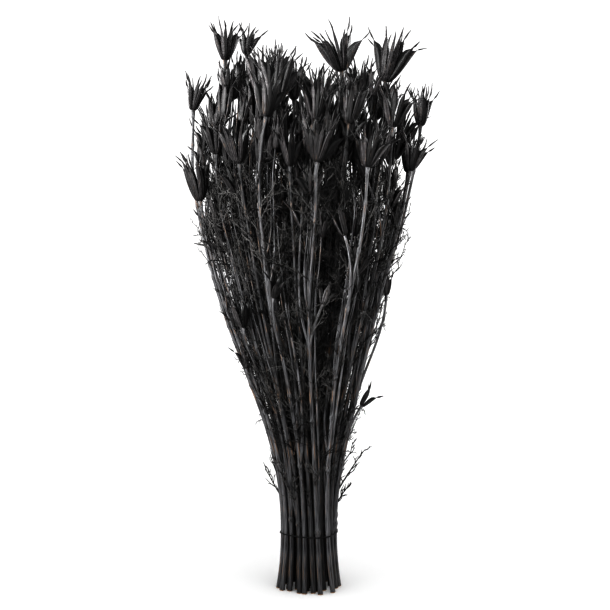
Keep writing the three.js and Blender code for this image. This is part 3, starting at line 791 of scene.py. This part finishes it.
def dyed_stalk():
    """Dyed straw: dull black skin with fine grey streaks along its raised grain, partly where the dye has
    rubbed off the ridges and partly painted highlight, a few brown scuffs, and bare tan wood at the cut. The
    grey also follows the stalk's tone, with its painted shade and light. Streaks are 0.5 mm wide, and scuffs
    about 1 mm wide and 20 mm long."""
    material = new_material("dyed_stalk")
    tree = material.node_tree
    grain = add_node(tree, "Attribute", attribute_name="grain").outputs["Vector"]
    tone = add_node(tree, "Attribute", attribute_name="tone").outputs["Fac"]
    streak_at = add_node(tree, "VectorMath", {0: grain, 1: STREAK_SIZE}, operation="DIVIDE").outputs[0]
    streaks = add_node(tree, "TexNoise", {"Vector": streak_at, "Scale": 1.0, "Detail": 3.0}).outputs["Fac"]
    scuff_at = add_node(tree, "VectorMath", {0: grain, 1: SCUFF_SIZE}, operation="DIVIDE").outputs[0]
    scuffs = add_node(tree, "TexNoise", {"Vector": scuff_at, "Scale": 1.0, "Detail": 4.0}).outputs["Fac"]
    # Painted highlight, partly real wear: the skin is paler where its streaks stand raised.
    pale_relief_and_painted_highlight = add_node(tree, "MapRange", {0: streaks, 1: 0.36, 2: 0.68}).outputs[0]
    # The stalk's tone scales the grey, with painted shade inside the bunch and painted light at the foot.
    grey_and_painted_light = add_node(tree, "Math", {0: pale_relief_and_painted_highlight, 1: tone}, operation="MULTIPLY").outputs[0]
    skin = add_node(
        tree, "Mix", {0: grey_and_painted_light, 6: linear(STALK_BLACK), 7: linear(STALK_GREY)}, data_type="RGBA"
    ).outputs[2]
    rubbed = add_node(tree, "MapRange", {0: scuffs, 1: 0.6, 2: 0.73, 4: 0.85}).outputs[0]
    worn = add_node(tree, "Mix", {0: rubbed, 6: skin, 7: linear(STALK_BROWN)}, data_type="RGBA").outputs[2]
    run = add_node(tree, "SeparateXYZ", {0: grain}).outputs["Z"]
    cut = add_node(tree, "MapRange", {0: run, 1: CUT_DEPTH, 2: 2 * CUT_DEPTH, 3: 1.0, 4: 0.0}).outputs[0]
    colour = add_node(tree, "Mix", {0: cut, 6: worn, 7: linear(CUT_TAN)}, data_type="RGBA").outputs[2]
    rough = add_node(tree, "MapRange", {0: streaks, 3: 0.48, 4: 0.7}).outputs[0]
    bumps = {"Height": streaks, "Strength": 0.5, "Distance": STREAK_DEPTH * MM}
    relief = add_node(tree, "Bump", bumps).outputs[0]
    shader = add_node(
        tree, "BsdfPrincipled",
        {"Base Color": colour, "Roughness": rough, "Normal": relief, "Specular IOR Level": SHEEN},
    )
    add_node(tree, "OutputMaterial", {"Surface": shader.outputs["BSDF"]})
    return material


def stem_node(stem):
    return f"stem_{stem + 1:02d}"


stalk_material = dyed_stalk()
for stem in range(STEMS):
    tone = between(*STALK_TONES, scatter(stem, 73))
    # Painted shade: stalks further inside the bunch are darker.
    tone *= between(INNER_PAINTED_SHADE, 1, smooth(math.hypot(*spots[stem]), *INNER_SHADE_SPAN))
    points, grain = make_stalk(stem)
    # Painted light: each stalk is palest at its foot and darker towards its top.
    skins = [(points, grain, tone * between(1.0, TOP_TONE, points[..., 2] / head_heights[stem]))]
    skins += [(*skin, tone) for skin in make_shoots(stem)]
    skins += [(*make_side_stalks(stem), tone)]
    make_piece(f"stalk_{stem + 1:02d}", skins, stalk_material, stem_node(stem))


# Pods
# Each follicle is a papery seed case, a blade on edge: a flat outer keel with a rib along its middle and
# both edges, cross-veined sides that meet in a thin inner edge, a round shoulder and a slender beak at its
# outer corner. The follicles of a pod have grown together up to their bellies, and all of it is dyed.
BODY_STATIONS = np.array([0, 0.08, 0.2, 0.38, 0.58, 0.76, 0.88, 0.96, 1])
BEAK_STATIONS = np.array([0.3, 0.65, 1])
PROFILE = np.array([  # depth from the inner edge to the keel, width, and how pale it is, as shares: the keel's rib and edges painted pale as lit, the grooves and the sides painted dark as shaded
    [1.0, 0, 0.9], [0.9, 0.5, 0.3], [1.0, 1, 1], [0.5, 0.8, 0.05], [0, 0, 0.05],
])
PROFILE = np.vstack([PROFILE, PROFILE[3:0:-1] * [1, -1, 1]])
BASE_RADIUS = 1.7
BASE_SINK = 1.2
BELLY_HALF_WIDTH = 1.7
SMALL_POD_BREADTH = 1.5  # how much broader the few follicles of a small pod are
FEW_FOLLICLES = 6  # a pod with fewer is a small one
SWELL_AT = (0, 0.24, 0.55, 0.8, 1)
SWELL = (0.55, 0.85, 1, 0.9, 0.4)  # half width at these stations, as a share of the belly's
WIDTH_RANGE = (0.8, 1.12)
SECTOR_OVERLAP = 1.04
KEEL_BULGE = 0.15  # how far the keel stands out in its lower third, as a share of the body
BULGE_SHAPE = (2.45, 0.55, 1.1)  # factor, and powers of the shares from the foot and from the top
BASE_POWER = 6  # how fast the keel leaves the base
BEAK_ROOT = 0.16  # width of the beak's root, as a share of the shoulder
SHOULDER_BOW = 0.65  # how high the shoulder bows, as a share of its climb
INNER_TURN = 0.7  # station where the inner edge turns into the shoulder
BEAK_RADII = (0.95, 0.22)
BEAK_WIDTH_RANGE = (0.85, 1.2)
BEAK_CURL = (-0.28, 0.22)
BEAK_SIDE_CURL = (-0.22, 0.22)
BODY_RANGE = (0.86, 1.04)  # a follicle's length, as a share of its pod's
BEAK_RANGE = (0.55, 1.1)  # and its beak's
UPRIGHT = (0.35, 1.15)  # share of its opening that a follicle stands at
TWIST = 0.1  # how far a follicle leans sideways at its top, as a share of its body
ARCH = (-0.04, 0.16)  # how far its top bends outwards, as a share of its body
BEAK_LEAN = 0.3  # how much further the beak goes on in its body's lean
BEAK_ARCH = 0.8  # and in its arch
FOLLICLE_TONES = (0.3, 0.9)
FOLLICLE_GRAIN = 60.0  # step of the grain from one follicle to the next
HUSK_BLACK = "070707"
# Pale of the nerves and of the painted light on the keels.
HUSK_GREY = "6c696a"
HUSK_BROWN = "6b5847"
NERVE_SIZE = (10 / 11, 10 / 11, 10)  # from keel to edge, across and along the follicle
VEIN_SIZE = (6.25, 6.25, 1.6)
VEIN_DEPTH = 0.5
PATCH_SIZE = (10 / 3, 5 / 3, 25 / 3)


def follicle_surface(pods):
    """Points of follicles over stations and profile. At each station the keel line and the inner line of
    the follicle are points of its middle plane, and a profile point is the inner point, plus its share of
    the way to the keel, plus its share of the half width sideways. Near the pod's axis the half width is
    held to the follicle's sector, so that neighbours meet there. The shoulder is a curve of the second
    order up to the outer corner. The beak goes on from there, and curls by the square of the way along it.
    All of it leans sideways by the square of the station, and arches outwards by its cube."""
    upright = between(*UPRIGHT, scatter(np.arange(len(pods)), 107))
    angles = pods["angle"] * upright
    radial, along, outward, sideways = (
        direction[:, None] for direction in follicle_frame(pods["axis"], pods["bearing"], angles)
    )
    axis = pods["axis"][:, None]
    own = np.arange(len(pods))[:, None, None]
    body = pods["body"][:, None, None] * between(*BODY_RANGE, scatter(own, 127))
    beak = pods["beak"][:, None, None] * between(*BEAK_RANGE, scatter(own, 131))
    angle = angles[:, None, None]
    share = BODY_STATIONS[None, :, None]
    factor, foot_power, top_power = BULGE_SHAPE
    rounding = factor * share**foot_power * (1 - share) ** top_power
    keel = share * body * along + KEEL_BULGE * body * rounding * outward
    base = BASE_RADIUS * radial - BASE_SINK * axis
    keel = keel + base * (1 - share) ** BASE_POWER
    corner = body * along
    inside = SHOULDER_DROP * body * np.cos(angle) * axis + SHOULDER_INSIDE * body * np.sin(angle) * radial
    climb = ((corner - inside) * along).sum(-1, keepdims=True)
    root = corner + BEAK_ROOT * (inside - corner)
    rise = np.clip(share / INNER_TURN, 0, 1)
    over = np.clip((share - INNER_TURN) / (1 - INNER_TURN), 0, 1)
    edge = inside * rise - BASE_SINK * axis * (1 - rise)
    bow = inside + SHOULDER_BOW * climb * along
    shoulder = inside * (1 - over) ** 2 + 2 * bow * over * (1 - over) + root * over**2
    inner = np.where(share < INNER_TURN, edge, shoulder)
    swell = np.interp(BODY_STATIONS, SWELL_AT, SWELL)[None, :, None]
    broad = np.where(pods["count"] < FEW_FOLLICLES, SMALL_POD_BREADTH, 1)[:, None, None]
    half = BELLY_HALF_WIDTH * broad * swell * between(*WIDTH_RANGE, scatter(own, 79))
    run = BEAK_STATIONS[None, :, None]
    curl = between(*BEAK_CURL, scatter(own, 83)) * outward
    curl = curl + between(*BEAK_SIDE_CURL, scatter(own, 89)) * sideways
    line = corner + beak * (run * (along + BEAK_BEND * outward) + run**2 * curl)
    thick = between(*BEAK_RADII, run) * between(*BEAK_WIDTH_RANGE, scatter(own, 97))
    keel = np.concatenate([keel, line + thick * outward], 1)
    inner = np.concatenate([inner, line - thick * outward], 1)
    half = np.concatenate([half, thick + 0 * beak], 1)
    depth, width = PROFILE.T[:2, None, None, :, None]
    middle = inner[:, :, None] + depth * (keel - inner)[:, :, None]
    from_axis = np.linalg.norm(np.cross(middle, axis[:, :, None]), axis=-1, keepdims=True)
    sector = from_axis * np.tan(np.pi / pods["count"])[:, None, None, None] * SECTOR_OVERLAP
    free = np.concatenate([np.zeros(len(BODY_STATIONS)), np.ones(len(BEAK_STATIONS))])[None, :, None, None]
    held = np.where(free > 0, half[:, :, None], np.minimum(half[:, :, None], sector))
    lean_run = np.concatenate([BODY_STATIONS, 1 + BEAK_LEAN * BEAK_STATIONS])[:, None] ** 2
    lean = between(-TWIST, TWIST, scatter(own, 101)) * lean_run
    arch_run = np.concatenate([BODY_STATIONS**3, 1 + BEAK_ARCH * BEAK_STATIONS])[:, None]
    arch = between(*ARCH, scatter(own, 113)) * arch_run
    points = middle + (width * held + (lean * body)[:, :, None]) * sideways[:, :, None]
    points = points + (arch * body * outward)[:, :, None]
    points = points + pods["foot"][:, None, None]
    length = np.concatenate([share * body + 0 * body, body + run * beak], 1)[:, :, None]
    reach = np.linalg.norm(keel - inner, axis=-1)[:, :, None, None]
    length = length + FOLLICLE_GRAIN * own[..., None]
    grain = np.concatenate(np.broadcast_arrays(depth * reach, width * held, length), -1)
    return points, grain


def dyed_husk():
    """Dyed papery husk: satin black with grey nerves, partly painted highlight where they stand raised, cross
    veins on the sides, and brown bare fibre along worn edges. The keel and its edges are painted pale as lit,
    and the grooves and sides dark as painted shade."""
    material = new_material("dyed_husk")
    tree = material.node_tree
    grain = add_node(tree, "Attribute", attribute_name="grain").outputs["Vector"]
    tone = add_node(tree, "Attribute", attribute_name="tone").outputs["Fac"]
    nerve_at = add_node(tree, "VectorMath", {0: grain, 1: NERVE_SIZE}, operation="DIVIDE").outputs[0]
    nerves = add_node(tree, "TexNoise", {"Vector": nerve_at, "Scale": 1.0, "Detail": 4.0}).outputs["Fac"]
    vein_at = add_node(tree, "VectorMath", {0: grain, 1: VEIN_SIZE}, operation="DIVIDE").outputs[0]
    veins = add_node(tree, "TexNoise", {"Vector": vein_at, "Scale": 1.0, "Detail": 2.0}).outputs["Fac"]
    relief_height = add_node(tree, "Math", {0: veins, 1: 0.5, 2: nerves}, operation="MULTIPLY_ADD").outputs[0]
    # Painted highlight, partly the nerves' own grey: paler where nerves and veins stand raised.
    pale_relief_and_painted_highlight = add_node(tree, "MapRange", {0: relief_height, 1: 0.5, 2: 1.0}).outputs[0]
    # Painted light and shade: the tone is pale on the keel's rib and edges and near black in the grooves and
    # on the sides.
    tone_and_painted_keel_light = add_node(tree, "Math", {0: tone, 1: 2.0}, operation="POWER").outputs[0]
    grey_and_painted_light = add_node(tree, "Math", {0: pale_relief_and_painted_highlight, 1: tone_and_painted_keel_light}, operation="MULTIPLY").outputs[0]
    skin = add_node(
        tree, "Mix", {0: grey_and_painted_light, 6: linear(HUSK_BLACK), 7: linear(HUSK_GREY)}, data_type="RGBA"
    ).outputs[2]
    patch_at = add_node(tree, "VectorMath", {0: grain, 1: PATCH_SIZE}, operation="DIVIDE").outputs[0]
    patches = add_node(tree, "TexNoise", {"Vector": patch_at, "Scale": 1.0, "Detail": 4.0}).outputs["Fac"]
    rubbed = add_node(tree, "MapRange", {0: patches, 1: 0.6, 2: 0.76}).outputs[0]
    bare = add_node(tree, "Math", {0: rubbed, 1: tone_and_painted_keel_light}, operation="MULTIPLY").outputs[0]
    colour = add_node(tree, "Mix", {0: bare, 6: skin, 7: linear(HUSK_BROWN)}, data_type="RGBA").outputs[2]
    rough = add_node(tree, "MapRange", {0: nerves, 3: 0.4, 4: 0.64}).outputs[0]
    bumps = {"Height": relief_height, "Strength": 0.6, "Distance": VEIN_DEPTH * MM}
    relief = add_node(tree, "Bump", bumps).outputs[0]
    shader = add_node(
        tree, "BsdfPrincipled",
        {"Base Color": colour, "Roughness": rough, "Normal": relief, "Specular IOR Level": SHEEN},
    )
    add_node(tree, "OutputMaterial", {"Surface": shader.outputs["BSDF"]})
    return material


husk_material = dyed_husk()
follicle_points, follicle_grain = follicle_surface(follicles)
# Painted light and shade across each follicle, by the profile's paleness, times a tone that differs at
# random.
follicle_tone_and_painted_light = between(*FOLLICLE_TONES, scatter(np.arange(len(follicles)), 103))[:, None, None]
follicle_tone_and_painted_light = np.broadcast_to(follicle_tone_and_painted_light * PROFILE[:, 2], follicle_points.shape[:3])
for stem in range(STEMS):
    own = follicles["stem"] == stem
    skins = [(follicle_points[own], follicle_grain[own], follicle_tone_and_painted_light[own])]
    make_piece(f"pods_{stem + 1:02d}", skins, husk_material, stem_node(stem))


# Thread leaves
# The leaves are cut down to threads: a wiry rib with forked side threads, like antlers. They grew at the
# knuckles and have dried into curls that fill the room between the stems.
LEAVES = (92, 38)  # of an inner stem and of an outer one
LEAF_FROM = 105
LEAF_TO = 385
LEAF_BELOW_HEAD = 40
LEAF_CROWDING = 0.7  # power that sets them closer towards the top
BESIDE_SHARE = 0.5  # of the leaves, those that grow on a side stalk where it is low enough
FIRST_LEAF_RING = 5
LEAF_LENGTHS = (22, 54)
LOW_LEAVES = 1  # of a stem, below the others: a stout twig that stands out from every second stem
LOW_LEAF_FROM = 60
TWIG_SWING = 0.3  # share of a leaf's swing that a twig has
TWIG_SLOPE = 0.55  # and of its slope
TWIG_BEND = 0.3  # and of its bend
TWIG_STOUTNESS = 1.6
TWIG_STRIDE = 2
LEAF_SLOPES = (0.15, 1.0)
LEAF_SWING = 1.7  # how far leaves turn from the bunch's outside, in radians
LEAF_BENDS = ((-0.6, 0.4), (-0.5, 0.4), (-0.5, 0.5))  # up, outwards and across, as shares of a leaf's length
LEAF_WAVE = 0.07
LEAF_WAVES = 1.6
RIB_POINTS = 6
SIDE_THREADS = 8
SIDE_POINTS = 3
SIDE_PLACES = (0.22, 0.97)  # shares of the rib between which its side threads leave it
SIDE_JITTER = 0.04
LAST_PLACE = 0.99
SIDE_LENGTHS = (7, 17)
SIDE_SCALE = (1.15, 0.55)  # of their lengths at the rib's foot and at its tip
SIDE_SPREADS = (0.6, 1.15)
FORK_POINTS = 2
TINE_PLACES = (0.35, 0.75)  # shares of a side thread between which its fork leaves it
TINE_LENGTHS = (3, 7)
TINE_SPREADS = (0.6, 1.0)
CURL_BACK = 0.5
CURL_SCATTER = 0.3
RIB_RADII = (0.62, 0.24)
SIDE_RADII = (0.42, 0.16)
FORK_RADII = (0.3, 0.12)
THREAD_SIDES = 3
LEAF_BLACK = "0c0c0c"
LEAF_GREY = "595857"
SPECK_SIZE = 6
THREAD_GLOSS = 0.1


def leaf_ribs(stem):
    """Ribs of a stem's leaves: each starts on the stem or one of its side stalks, goes up and out at its
    own slope, and bends by the square of the way along it, with one slow wave across."""
    count = int(between(*LEAVES, smooth(math.hypot(*spots[stem]), *OUTER)))
    share = (np.arange(count) + rng.random(count)) / count
    highest = min(head_heights[stem] - LEAF_BELOW_HEAD, LEAF_TO)
    start = stem_point(stem, between(LEAF_FROM, highest, share**LEAF_CROWDING))
    beside = rng.random(count) < BESIDE_SHARE
    start[:LOW_LEAVES] = stem_point(stem, rng.uniform(LOW_LEAF_FROM, LEAF_FROM, LOW_LEAVES))
    beside[:LOW_LEAVES] = False
    picked = rng.integers(0, SIDE_STALKS, count)
    ring = rng.integers(FIRST_LEAF_RING, SIDE_STALK_RINGS, count)
    beside &= side_stalks[stem][picked, ring, 2] < LEAF_TO
    start[beside] = side_stalks[stem][picked, ring][beside]
    swing = rng.normal(0, LEAF_SWING, count)
    swing[:LOW_LEAVES] *= TWIG_SWING
    bearing = math.atan2(spots[stem, 1], spots[stem, 0]) + swing
    slope = rng.uniform(*LEAF_SLOPES, count)
    slope[:LOW_LEAVES] *= TWIG_SLOPE
    level = np.stack([np.cos(bearing), np.sin(bearing), 0 * bearing], -1)
    across = np.stack([-np.sin(bearing), np.cos(bearing), 0 * bearing], -1)
    up = np.array([0, 0, 1.0])
    way = np.sin(slope)[:, None] * level + np.cos(slope)[:, None] * up
    length = rng.uniform(*LEAF_LENGTHS, count)[:, None, None]
    ways = (up, level[:, None], across[:, None])
    bend = sum(rng.uniform(*ends, (count, 1, 1)) * towards for ends, towards in zip(LEAF_BENDS, ways))
    bend[:LOW_LEAVES] *= TWIG_BEND
    run = np.linspace(0, 1, RIB_POINTS)[None, :, None]
    wave = LEAF_WAVE * np.sin(2 * np.pi * (LEAF_WAVES * run + rng.random((count, 1, 1)))) * across[:, None]
    return start[:, None] + length * (run * way[:, None] + run**2 * bend + wave * run)


def branch(parents, at, length, spread, points, sides):
    """Threads that leave parent threads: from a point of each, at a spread angle from the parent's way to a
    side, and bent back towards that way by the square of the way along them."""
    count = len(parents)
    steps = parents.shape[1] - 1
    place = at * steps
    low = np.minimum(place.astype(int), steps - 1)
    rows = np.arange(count)[:, None]
    start = parents[rows, low] + (place - low)[..., None] * (parents[rows, low + 1] - parents[rows, low])
    way = unit(parents[rows, low + 1] - parents[rows, low])
    normal = unit(np.cross(way, unit(sides)))
    across = np.cross(normal, way)
    side = np.cos(spread)[..., None] * way + np.sin(spread)[..., None] * across
    run = np.linspace(0, 1, points)[:, None]
    curl = CURL_BACK * (way - side) + rng.uniform(-CURL_SCATTER, CURL_SCATTER, side.shape)
    path = start[:, :, None] + length[..., None, None] * (run * side[:, :, None] + run**2 * curl[:, :, None])
    return path.reshape(-1, points, 3)


def thread_skins(paths, radii, stout, tone):
    """Three-sided tapered skins along threads. All but the stout ones are pressed in with the bunch."""
    taper = np.linspace(*radii, paths.shape[1])[None, :, None] * stout
    paths = np.where(stout > 1, paths, pressed_in(paths))
    chord = unit(paths[:, -1] - paths[:, 0])
    reference = unit(np.cross(chord, chord[:, [1, 2, 0]] + np.array([0.3, 0.1, 0.2])))[:, None]
    radii = taper * np.ones((len(paths), 1, THREAD_SIDES))
    return (*rings_along(paths, radii, THREAD_SIDES, reference), tone)


def make_leaves(stem):
    """Skins of a stem's leaves: their ribs, the side threads on these, and one fork on each side thread."""
    ribs = leaf_ribs(stem)
    count = len(ribs)
    jitter = rng.uniform(-SIDE_JITTER, SIDE_JITTER, (count, SIDE_THREADS))
    at = np.clip(np.linspace(*SIDE_PLACES, SIDE_THREADS) + jitter, 0, LAST_PLACE)
    long = rng.uniform(*SIDE_LENGTHS, (count, SIDE_THREADS)) * between(*SIDE_SCALE, at)
    spread = rng.uniform(*SIDE_SPREADS, (count, SIDE_THREADS))
    turned = rng.normal(size=(count, SIDE_THREADS, 3))
    side_threads = branch(ribs, at, long, spread, SIDE_POINTS, turned)
    each = (len(side_threads), 1)
    fork_at = rng.uniform(*TINE_PLACES, each)
    fork_long = rng.uniform(*TINE_LENGTHS, each)
    fork_spread = rng.uniform(*TINE_SPREADS, each)
    fork_turned = rng.normal(size=(*each, 3))
    forks = branch(side_threads, fork_at, fork_long, fork_spread, FORK_POINTS, fork_turned)
    tone = rng.random((count, 1, 1))
    stout = np.ones((count, 1, 1))
    if stem % TWIG_STRIDE == 0:
        stout[:LOW_LEAVES] = TWIG_STOUTNESS
    side_stout = np.repeat(stout, SIDE_THREADS, 0)
    side_tone = np.repeat(tone, SIDE_THREADS, 0)
    return [
        thread_skins(ribs, RIB_RADII, stout, tone),
        thread_skins(side_threads, SIDE_RADII, side_stout, side_tone),
        thread_skins(forks, FORK_RADII, side_stout, side_tone),
    ]


def dyed_thread():
    """Dyed leaf thread: dull brownish black, greyer from leaf to leaf, with small lighter spots along it."""
    material = new_material("dyed_thread")
    tree = material.node_tree
    tone = add_node(tree, "Attribute", attribute_name="tone").outputs["Fac"]
    place = add_node(tree, "TexCoord").outputs["Object"]
    speckle = {"Vector": place, "Scale": 1 / (SPECK_SIZE * MM), "Detail": 2.0}
    specks = add_node(tree, "TexNoise", speckle).outputs["Fac"]
    mixed = add_node(tree, "Math", {0: tone, 1: specks}, operation="MULTIPLY").outputs[0]
    colour = add_node(
        tree, "Mix", {0: mixed, 6: linear(LEAF_BLACK), 7: linear(LEAF_GREY)}, data_type="RGBA"
    ).outputs[2]
    shader = add_node(
        tree, "BsdfPrincipled", {"Base Color": colour, "Roughness": 0.7, "Specular IOR Level": THREAD_GLOSS}
    )
    add_node(tree, "OutputMaterial", {"Surface": shader.outputs["BSDF"]})
    return material


thread_material = dyed_thread()
for stem in range(STEMS):
    make_piece(f"leaves_{stem + 1:02d}", make_leaves(stem), thread_material, stem_node(stem))


# Tie
# A narrow black elastic band, stretched round the stems at the waist: it runs straight from one outermost
# stem to the next and bends round each.
TIE_HEIGHT = 1.2
TIE_THICKNESS = 0.8
TIE_STATIONS = 288
TIE_SIDES = 12
TIE_ROUNDING = 0.6  # power of the sine and cosine that gives its section round corners
ELASTIC_BLACK = "0d0d0d"
ELASTIC_GREY = "1c1c1d"
MOTTLE_SIZE = 1.5
ELASTIC_GLOSS = 0.1


def tie_surface():
    """Points of the band. For each direction round the bunch, its middle line is the point of the stems
    furthest that way, moved half its thickness on; its section is a rectangle with round corners, in that
    direction and upright."""
    angle = 2 * np.pi * np.arange(TIE_STATIONS) / TIE_STATIONS
    way = np.stack([np.cos(angle), np.sin(angle), 0 * angle], -1)
    waist = np.stack([stem_point(stem, WAIST_HEIGHT) for stem in range(STEMS)])
    radius = (1 + RIDGE) * np.array([stem_radius(stem, WAIST_HEIGHT) for stem in range(STEMS)])
    furthest = (way @ waist.T + radius).argmax(1)
    middle = waist[furthest] + (radius[furthest] + TIE_THICKNESS / 2)[:, None] * way
    turn = 2 * np.pi * np.arange(TIE_SIDES) / TIE_SIDES
    level = TIE_THICKNESS / 2 * np.sign(np.cos(turn)) * np.abs(np.cos(turn)) ** TIE_ROUNDING
    upright = TIE_HEIGHT / 2 * np.sign(np.sin(turn)) * np.abs(np.sin(turn)) ** TIE_ROUNDING
    return middle[:, None] + level[:, None] * way[:, None] + upright[:, None] * np.array([0, 0, 1.0])


def black_elastic():
    """Moulded rubber, dusty and dull: near black with a faint mottle of 1.5 mm."""
    material = new_material("black_elastic")
    tree = material.node_tree
    place = add_node(tree, "TexCoord").outputs["Object"]
    dust = {"Vector": place, "Scale": 1 / (MOTTLE_SIZE * MM), "Detail": 3.0}
    mottle = add_node(tree, "TexNoise", dust).outputs["Fac"]
    colour = add_node(
        tree, "Mix", {0: mottle, 6: linear(ELASTIC_BLACK), 7: linear(ELASTIC_GREY)}, data_type="RGBA"
    ).outputs[2]
    rough = add_node(tree, "MapRange", {0: mottle, 3: 0.55, 4: 0.75}).outputs[0]
    dull = {"Base Color": colour, "Roughness": rough, "Specular IOR Level": ELASTIC_GLOSS}
    shader = add_node(tree, "BsdfPrincipled", dull)
    add_node(tree, "OutputMaterial", {"Surface": shader.outputs["BSDF"]})
    return material


corner = np.arange(TIE_STATIONS * TIE_SIDES).reshape(TIE_STATIONS, TIE_SIDES)
ahead = np.roll(corner, -1, 0)
quads = np.stack([corner, ahead, np.roll(ahead, -1, 1), np.roll(corner, -1, 1)], -1).reshape(-1, 4)
tie_mesh = bpy.data.meshes.new("elastic_tie")
tie_mesh.from_pydata(MM * tie_surface().reshape(-1, 3), [], quads.tolist())
tie_mesh.polygons.foreach_set("use_smooth", np.ones(len(quads), bool))
tie_mesh.materials.append(black_elastic())
tie = bpy.data.objects.new("elastic_tie", tie_mesh)
bpy.context.scene.collection.objects.link(tie)
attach(tie, "root")
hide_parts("tie")
